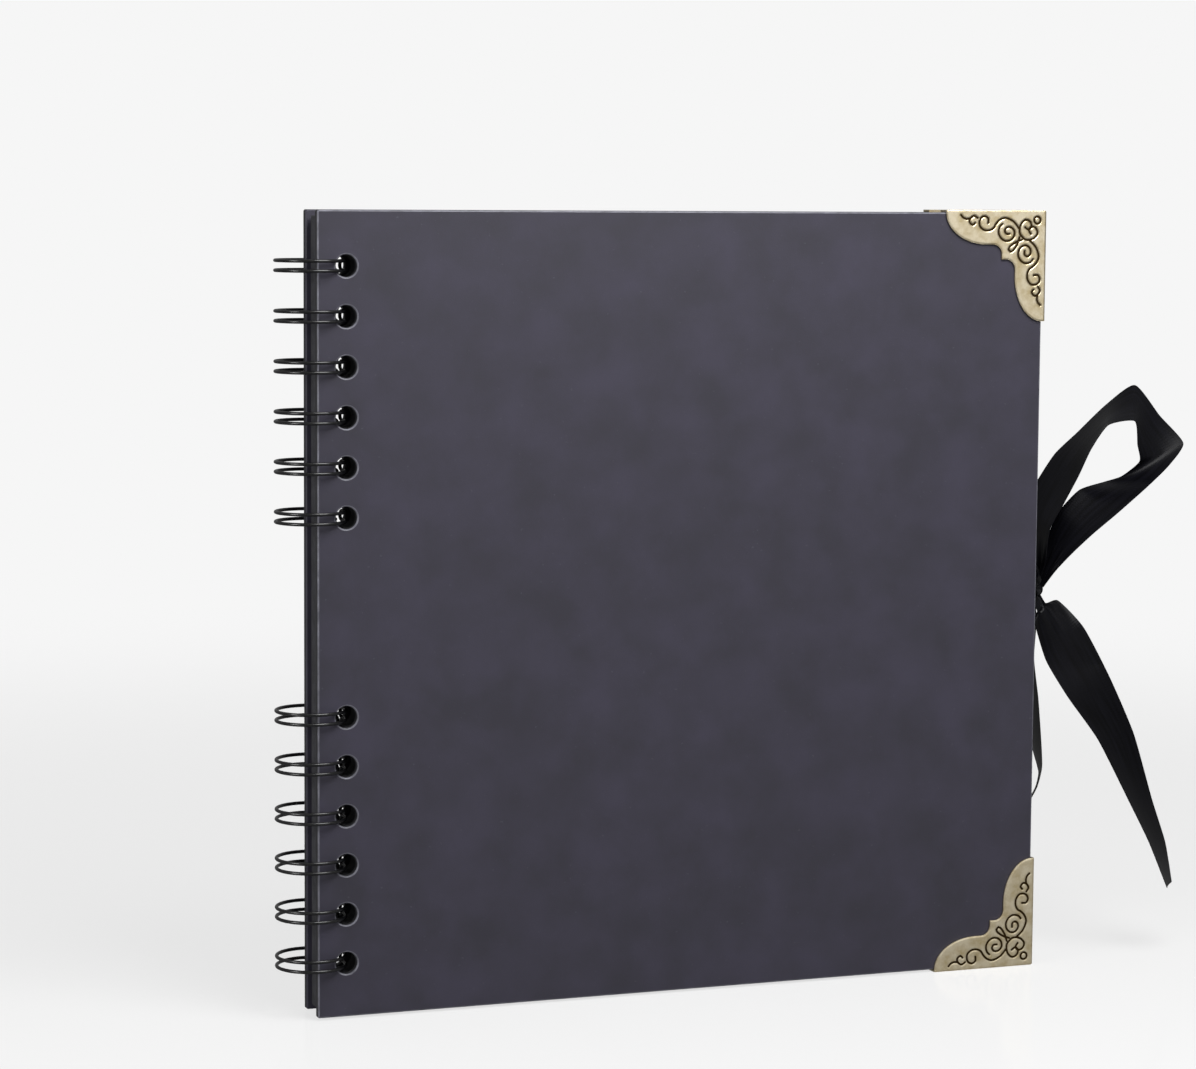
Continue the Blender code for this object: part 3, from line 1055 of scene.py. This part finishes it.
@dataclass
class SatinRibbon:
    """A band of satin through listed stations, gathered into pleats at the knot."""

    name: str
    side: Side
    nodes: tuple[str, ...]
    runs: tuple[tuple[Station, ...], ...]
    gathered: tuple[bool, bool] = (True, False)
    width: float = 15.0
    thickness: float = 0.22
    pleats: int = 3
    pleat_reach: float = 14.0
    pleat_depth: float = 0.7
    pleat_phase: float = 0.6
    full_pleat_width: float = 4.0
    crown: float = 0.35
    edge_thinning: float = 0.75
    across: int = 24
    steps: int = 10
    slackness: float = 0.32

    def sections(self, stations: tuple[Station, ...]) -> list[tuple[np.ndarray, np.ndarray]]:
        """The band's two edges on a smooth curve, in millimetres from the bow's centre."""
        ends = [stations[0], *stations, stations[-1]]
        found = []
        for i in range(1, len(ends) - 2):
            near = np.array(ends[i - 1 : i + 3], dtype=float)
            for t in np.arange(self.steps) / self.steps:
                edges = np.tensordot(curve_weights(t, self.slackness), near, axes=1)
                found.append((edges[0], edges[1]))
        last = np.array(stations[-1], dtype=float)
        return [*found, (last[0], last[1])]

    def length(self, sections: list[tuple[np.ndarray, np.ndarray]]) -> float:
        """The band's length along its middle, in millimetres."""
        middle = np.array([(a + b) / 2 for a, b in sections])
        return float(np.linalg.norm(np.diff(middle, axis=0), axis=1).sum())

    def add_run(
        self, made: bmesh.types.BMesh, stations: tuple[Station, ...], origin: Vector
    ) -> float:
        """Adds one stretch of the band as a closed thin shell.

        Args:
            made: The mesh that it is added to.
            stations: The stretch's stations.
            origin: The bow's centre in the frame.

        Returns:
            The stretch's length in millimetres.
        """
        sections = self.sections(stations)
        total = self.length(sections)
        uv = made.loops.layers.uv.get("UVMap") or made.loops.layers.uv.new("UVMap")
        grid = []
        done = 0.0
        for i, (first, second) in enumerate(sections):
            before = sections[max(i - 1, 0)]
            after = sections[min(i + 1, len(sections) - 1)]
            step = np.sum(after, axis=0) - np.sum(before, axis=0)
            if i:
                previous = sections[i - 1]
                done += float(np.linalg.norm((first + second - previous[0] - previous[1]) / 2))
            normal = np.cross(step, second - first)
            normal /= max(np.linalg.norm(normal), 1e-9)
            row = []
            for j in range(self.across + 1):
                share = j / self.across
                lift = self.lift(share, done, total, float(np.linalg.norm(second - first)))
                centre = first + (second - first) * share + normal * lift
                edge_thin = self.edge_thinning if j in (0, self.across) else 1.0
                half = normal * self.thickness / 2 * edge_thin
                row.append((centre + half, centre - half, share, done / self.width))
            grid.append(row)
        self.skin(made, grid, origin, uv)
        return total

    def lift(self, share: float, done: float, total: float, width: float) -> float:
        """How far a point stands off the flat band: a slight crown, and pleats near the knot."""
        crown = self.crown * (1 - (2 * share - 1) ** 2)
        reach = 0.0
        if self.gathered[0]:
            reach = max(reach, 1 - done / self.pleat_reach)
        if self.gathered[1]:
            reach = max(reach, 1 - (total - done) / self.pleat_reach)
        reach = max(reach, 0.0)
        depth = self.pleat_depth * reach * min(1.0, width / self.full_pleat_width)
        return crown + depth * sin(2 * pi * self.pleats * share + self.pleat_phase)

    def skin(
        self, made: bmesh.types.BMesh, grid: list, origin: Vector, uv: bmesh.types.BMLayerItem
    ) -> None:
        """Faces over both sides of the grid, its long edges and its ends."""

        def vertex(point: np.ndarray) -> bmesh.types.BMVert:
            """A vertex at a point given from the bow's centre."""
            return made.verts.new(origin + Vector(point) * MM)

        top = [[vertex(p[0]) for p in row] for row in grid]
        under = [[vertex(p[1]) for p in row] for row in grid]

        def face(corners: list[tuple[list, int, int]]) -> None:
            """One quad, with UVs from the grid."""
            quad = made.faces.new([layer[i][j] for layer, i, j in corners])
            for loop, (_, i, j) in zip(quad.loops, corners):
                loop[uv].uv = (grid[i][j][2], grid[i][j][3])

        rows, columns = len(grid), len(grid[0])
        for i in range(rows - 1):
            for j in range(columns - 1):
                face([(top, i, j), (top, i, j + 1), (top, i + 1, j + 1), (top, i + 1, j)])
                face([(under, i, j), (under, i + 1, j), (under, i + 1, j + 1), (under, i, j + 1)])
            for j, flip in ((0, False), (columns - 1, True)):
                corners = [(top, i, j), (top, i + 1, j), (under, i + 1, j), (under, i, j)]
                face(corners[::-1] if flip else corners)
        for i, flip in ((0, True), (rows - 1, False)):
            for j in range(columns - 1):
                corners = [(top, i, j), (top, i, j + 1), (under, i, j + 1), (under, i, j)]
                face(corners[::-1] if flip else corners)

    def build(self, origin: Vector, held: str) -> bpy.types.Object:
        shape = bmesh.new()
        total = sum(self.add_run(shape, run, origin) for run in self.runs)
        piece = finished_piece(
            self.name, shape, (SATIN,), self.side.body, self.nodes, sharp=50
        )
        log.info("%s is cut %.0f mm long", self.name, total)
        return piece


@dataclass
class BowKnot:
    """The knot: the ribbon wrapped over itself, with folds across it."""

    folds: int = 3
    depth: float = 0.1
    middle: float = 0.6
    slant: float = 0.25
    squareness: int = 3
    fill: float = 0.96
    pole_fill: float = 0.9
    around: int = 64
    rows: int = 40

    def build(self) -> bpy.types.Object:
        """A closed, folded lump in the knot's place."""
        low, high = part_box("ribbon_knot")
        centre = (low + high) / 2
        radii = (high - low) / 2
        made = bmesh.new()
        uv = made.loops.layers.uv.new("UVMap")
        power = self.squareness
        rings = []
        for i in range(1, self.rows):
            down = pi * i / self.rows
            ring = []
            for j in range(self.around):
                turn = 2 * pi * j / self.around
                wave = abs(sin(self.folds * (down + self.slant * sin(turn))))
                fold = 1 + self.depth * (wave - self.middle)
                squared = 1 / (abs(cos(turn)) ** power + abs(sin(turn)) ** power) ** (1 / power)
                out = sin(down) * squared
                point = (out * cos(turn), out * sin(turn), cos(down))
                reach = Vector([p * r * fold * self.fill for p, r in zip(point, radii)])
                ring.append(made.verts.new(centre + reach))
            rings.append(ring)
        tall = radii.z * self.pole_fill
        poles = [made.verts.new(centre + Vector((0, 0, way * tall))) for way in (1, -1)]
        for first, second in zip(rings, rings[1:]):
            for j in range(self.around):
                made.faces.new((first[j - 1], first[j], second[j], second[j - 1]))
        for pole, ring in zip(poles, (rings[0], rings[-1])):
            for j in range(self.around):
                made.faces.new((pole, ring[j - 1], ring[j]))
        for face in made.faces:
            for loop in face.loops:
                spot = loop.vert.co - centre
                loop[uv].uv = (spot.x / radii.x, spot.z / radii.z)
        return finished_piece(
            "ribbon_bow_knot",
            made,
            (SATIN,),
            Side.FRONT.body,
            ("ribbon_knot",),
            sharp=80,
        )


# Where the ribbon runs: the two edge points of each station, in millimetres from the bow's
# centre, which is 4 mm out from the covers' fore edge. The single stations lie in the knot.
FRONT_LOOP: tuple[Station, ...] = (
    ((1.5, 5.5, 4.5), (0.5, -1.5, 4.5)),
    ((1.5, 9.0, 10.0), (0.8, -3.0, 8.5)),
    ((2.7, 11.9, 21.8), (2.6, -1.9, 16.2)),
    ((5.9, 13.0, 27.8), (6.7, -1.0, 22.3)),
    ((12.2, 14.1, 35.7), (12.2, 0.0, 30.7)),
    ((19.1, 14.2, 41.5), (16.0, 0.0, 38.1)),
    ((27.0, 12.3, 49.3), (21.0, -0.3, 44.6)),
    ((34.3, 9.2, 54.9), (28.7, -1.2, 45.6)),
    ((39.8, 4.5, 46.5), (29.0, -2.5, 39.1)),
    ((44.0, -1.5, 39.2), (30.0, -2.0, 34.5)),
    ((37.0, -6.0, 33.5), (26.2, 1.0, 30.2)),
    ((28.6, -9.0, 28.0), (22.5, 3.9, 28.5)),
    ((19.2, -9.4, 20.9), (14.0, 2.8, 26.5)),
    ((12.1, -9.2, 15.6), (7.8, 3.0, 20.5)),
    ((6.0, -7.5, 9.7), (4.6, 3.8, 12.6)),
    ((2.5, -4.5, 4.8), (2.4, 3.0, 5.6)),
)
FRONT_LOOP_START: Station = ((0.6, 3.4, 1.2), (-0.2, -0.4, 1.0))
FRONT_LOOP_END: Station = ((0.3, -1.6, 0.6), (1.2, 2.2, 1.0))
FRONT_TAIL_START: Station = ((1.0, 1.6, -0.8), (-0.6, -0.6, -1.6))
FRONT_TAIL: tuple[Station, ...] = (
    ((3.2, 0.8, -4.2), (-0.2, -2.2, -5.2)),
    ((7.4, 1.2, -3.8), (-2.6, -4.2, -8.6)),
    ((13.1, -3.2, -11.2), (0.6, -4.8, -19.4)),
    ((20.6, -4.9, -25.2), (6.4, -7.1, -29.6)),
    ((28.7, -4.4, -41.3), (14.7, -9.6, -41.5)),
    ((35.8, -2.8, -60.3), (23.5, -11.2, -58.2)),
    ((41.4, -1.0, -73.2), (30.5, -11.0, -70.7)),
    ((45.0, 1.1, -85.2), (36.5, -11.1, -84.0)),
)
BACK_LOOP: tuple[Station, ...] = (
    ((3.0, 6.5, 2.2), (-2.0, 6.5, 2.2)),
    ((6.5, 12.0, 4.0), (-4.5, 12.5, 5.0)),
    ((8.5, 22.0, 8.5), (-5.0, 23.0, 11.0)),
    ((8.0, 33.0, 10.0), (-6.0, 34.0, 13.0)),
    ((7.0, 40.0, 5.0), (-7.5, 40.5, 7.0)),
    ((7.0, 38.0, -3.0), (-7.5, 38.0, -2.0)),
    ((8.0, 27.0, -7.0), (-6.5, 27.0, -6.0)),
    ((7.0, 15.0, -4.0), (-4.8, 15.5, -3.5)),
    ((3.0, 7.5, -1.5), (-1.5, 7.5, -1.5)),
)
BACK_LOOP_START: Station = ((1.0, 2.8, 0.9), (-0.8, 2.8, 0.9))
BACK_LOOP_END: Station = ((0.8, 2.8, -0.7), (-0.6, 2.8, -0.7))
BACK_TAIL_START: Station = ((1.0, 2.6, -1.0), (-0.6, 1.2, -1.4))
BACK_TAIL: tuple[Station, ...] = (
    ((3.2, 7.0, -4.2), (-0.8, 3.0, -4.8)),
    ((6.0, 11.1, -9.5), (-1.8, -0.3, -9.5)),
    ((6.1, 12.6, -21.3), (-3.0, 1.4, -18.6)),
    ((8.2, 13.6, -32.8), (-1.5, 2.4, -30.8)),
    ((10.0, 14.8, -45.0), (0.7, 3.2, -43.3)),
    ((11.3, 16.4, -53.0), (3.6, 3.6, -52.2)),
    ((11.0, 18.5, -59.0), (3.8, 5.5, -57.1)),
    ((9.8, 21.5, -64.3), (2.6, 8.5, -61.8)),
)


@dataclass
class Bow:
    """Both ribbons and the knot that ties them."""

    standoff: float = 4.0
    backset: float = 0.5
    strap_width: float = 15.0
    strap_gathered: float = 7.0
    strap_inset: float = 0.3
    strap_steps: int = 3

    def centre(self) -> Vector:
        """The bow's centre in the frame."""
        front_low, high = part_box("front_cover")
        _, back_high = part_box("back_cover")
        middle = (front_low.y + back_high.y) / 2
        return Vector(
            (
                high.x + self.standoff * MM,
                middle + self.backset * MM,
                (front_low.z + high.z) / 2,
            )
        )

    def strap(self, side: Side) -> tuple[Station, ...]:
        """The short stretch from a board's fore edge to the knot."""
        low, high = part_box(f"ribbon_{side.word}_strap")
        centre = self.centre()
        start = (low - centre) / MM
        end = (high - centre) / MM
        inset = self.strap_inset
        near, far = start.y + inset, end.y - inset
        if side is Side.BACK:
            near, far = far, near
        stations = []
        for i in range(self.strap_steps + 1):
            share = i / self.strap_steps
            half = (self.strap_width + (self.strap_gathered - self.strap_width) * share) / 2
            x = start.x + inset + (end.x - start.x - 2 * inset) * sin(radians(90) * share)
            y = near + (far - near) * share
            stations.append(((x, y, half), (x, y, -half)))
        return tuple(stations)

    def build(self) -> None:
        """Makes the knot and the four bands."""
        BowKnot().build()
        origin = self.centre()
        front_loop = (FRONT_LOOP_START, *FRONT_LOOP, FRONT_LOOP_END)
        front_tail = (FRONT_TAIL_START, *FRONT_TAIL)
        back_loop = (BACK_LOOP_START, *BACK_LOOP, BACK_LOOP_END)
        back_tail = (BACK_TAIL_START, *BACK_TAIL)
        for side, loop, tail in (
            (Side.FRONT, front_loop, front_tail),
            (Side.BACK, back_loop, back_tail),
        ):
            word = side.word
            SatinRibbon(
                f"ribbon_{word}_bow_loop", side, (f"ribbon_{word}_loop",), (loop,), (True, True)
            ).build(origin, "folded")
            SatinRibbon(
                f"ribbon_{word}_bow_tail",
                side,
                (f"ribbon_{word}_tail", f"ribbon_{word}_strap"),
                (tail, self.strap(side)),
            ).build(origin, "hung")


@dataclass(frozen=True)
class Panel:
    """A square soft light, in metres and watts, turned towards the album."""

    name: str
    place: tuple[float, float, float]
    size: float
    power: float


PANELS = (
    Panel("key_panel", (0.08, -0.3, 0.5), 0.3, 3.2),
    Panel("left_panel", (-0.9, -0.35, 0.3), 0.35, 5.0),
    Panel("right_panel", (0.55, -1.1, 0.25), 0.6, 1.0),
)


@dataclass
class Studio:
    """The floor, the light and the camera."""

    focal: float = 104.46
    sensor: float = 36.0
    clip_end: float = 50.0
    azimuth: float = -20.6
    elevation: float = 5.66
    roll: float = 0.38
    distance: float = 0.9003
    target: tuple[float, float, float] = (-0.0262, -0.0119, 0.1221)
    floor_radius: float = 1.0
    floor_colour: str = "#F2F2F2"
    floor_roughness: float = 0.16
    floor_clear: float = 0.75
    fade_start: float = 0.15
    fade_end: float = 0.9
    low_way: float = -0.4
    high_way: float = 0.9
    low_light: float = 0.12
    high_light: float = 0.42
    aim_height: float = 0.12
    sky_colour: str = "#F6F6F6"

    def camera(self) -> None:
        """Puts the camera at the left of the cover, a little above its middle."""
        lens = bpy.data.cameras.new("camera")
        lens.lens = self.focal
        lens.sensor_width = self.sensor
        lens.clip_end = self.clip_end
        camera = linked("camera", lens)
        across, up = radians(self.azimuth), radians(self.elevation)
        back = Vector((sin(across) * cos(up), -cos(across) * cos(up), sin(up)))
        turn = (-back).to_track_quat("-Z", "Y").to_matrix()
        turn = turn @ Matrix.Rotation(radians(self.roll), 3, "Z")
        place = Vector(self.target) + back * self.distance
        camera.matrix_world = Matrix.Translation(place) @ turn.to_4x4()
        bpy.context.scene.camera = camera

    def floor(self) -> None:
        """A white glossy table top that fades out into the backdrop."""
        made = bmesh.new()
        bmesh.ops.create_circle(made, cap_ends=True, radius=self.floor_radius, segments=96)
        lowest = CAD_BOUNDS[0].z
        bmesh.ops.translate(made, vec=(0, 0, lowest), verts=made.verts)
        mesh = bpy.data.meshes.new("table_top")
        made.to_mesh(mesh)
        made.free()
        floor = linked("table_top", mesh)
        material = bpy.data.materials.new("white_table_top")
        material.use_nodes = True
        tree = material.node_tree
        shader = tree.nodes["Principled BSDF"]
        shader.inputs["Base Color"].default_value = linear(self.floor_colour)
        shader.inputs["Roughness"].default_value = self.floor_roughness
        place = add_node(tree, "ShaderNodeTexCoord").outputs["Object"]
        distance = add_node(tree, "ShaderNodeVectorMath", operation="LENGTH", inputs={0: place})
        fade = add_node(
            tree,
            "ShaderNodeMapRange",
            interpolation_type="SMOOTHERSTEP",
            inputs={
                "Value": distance.outputs["Value"],
                "From Min": self.fade_start,
                "From Max": self.fade_end,
                "To Min": self.floor_clear,
            },
        )
        clear = add_node(tree, "ShaderNodeBsdfTransparent")
        mixed = add_node(
            tree,
            "ShaderNodeMixShader",
            inputs={0: fade.outputs["Result"], 1: shader.outputs[0], 2: clear.outputs[0]},
        )
        tree.links.new(mixed.outputs[0], tree.nodes["Material Output"].inputs["Surface"])
        mesh.materials.append(material)

    def surround(self) -> None:
        """The air round the table: near-white to look at, and a softer light from above."""
        world = bpy.data.worlds.new("studio")
        world.use_nodes = True
        tree = world.node_tree
        seen = tree.nodes["Background"]
        seen.inputs["Color"].default_value = linear(self.sky_colour)
        ray = add_node(tree, "ShaderNodeTexCoord").outputs["Generated"]
        up = add_node(tree, "ShaderNodeSeparateXYZ", inputs={"Vector": ray}).outputs["Z"]
        fall = add_node(
            tree,
            "ShaderNodeMapRange",
            inputs={
                "Value": up,
                "From Min": self.low_way,
                "From Max": self.high_way,
                "To Min": self.low_light,
                "To Max": self.high_light,
            },
        )
        lit = add_node(
            tree,
            "ShaderNodeBackground",
            inputs={"Color": (1, 1, 1, 1), "Strength": fall.outputs["Result"]},
        )
        camera_ray = add_node(tree, "ShaderNodeLightPath").outputs["Is Camera Ray"]
        mixed = add_node(
            tree,
            "ShaderNodeMixShader",
            inputs={0: camera_ray, 1: lit.outputs[0], 2: seen.outputs[0]},
        )
        tree.links.new(mixed.outputs[0], tree.nodes["World Output"].inputs["Surface"])
        bpy.context.scene.world = world

    def lights(self) -> None:
        """One panel above the front, one at the left by the spine, and a weak one at the right."""
        for panel in PANELS:
            lamp = bpy.data.lights.new(panel.name, "AREA")
            lamp.shape = "SQUARE"
            lamp.size = panel.size
            lamp.energy = panel.power
            holder = linked(panel.name, lamp)
            holder.location = panel.place
            aim = Vector((0, 0, self.aim_height)) - Vector(panel.place)
            holder.rotation_euler = aim.to_track_quat("-Z", "Y").to_euler()
        bpy.context.scene.view_settings.view_transform = "Standard"

    def build(self) -> None:
        """Sets up the whole studio."""
        self.camera()
        self.floor()
        self.surround()
        self.lights()


def main() -> None:
    """Builds the album's pieces in order, then the studio."""
    binding = Binding()
    for side in Side:
        cover = CoverBoard(binding, f"{side.word}_cover", side.body, worn_side=side.value)
        cover.build(f"{side.word}_cover_board", (COVER_PAPER, CUT_BOARD, ARRIS_HIGHLIGHT_AND_WEAR), "cover_board")
    for node in sorted(n for n in frame["nodes"] if n.startswith("leaf_")):
        leaf = PunchedSheet(binding, node, node)
        leaf.build(f"{node}_sheet", (CARD, CUT_CARD), "album_paper")
    for group in ("upper", "lower"):
        TwinLoopWire(binding, group).build()
    low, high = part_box("front_cover")
    stamping = CornerStamping().mesh((high.y - low.y) / MM)
    for side in Side:
        for level in Level:
            MetalCorner(side, level).build(stamping)
    bpy.data.meshes.remove(stamping)
    Bow().build()
    Studio().build()


if __name__ == "__main__":
    main()
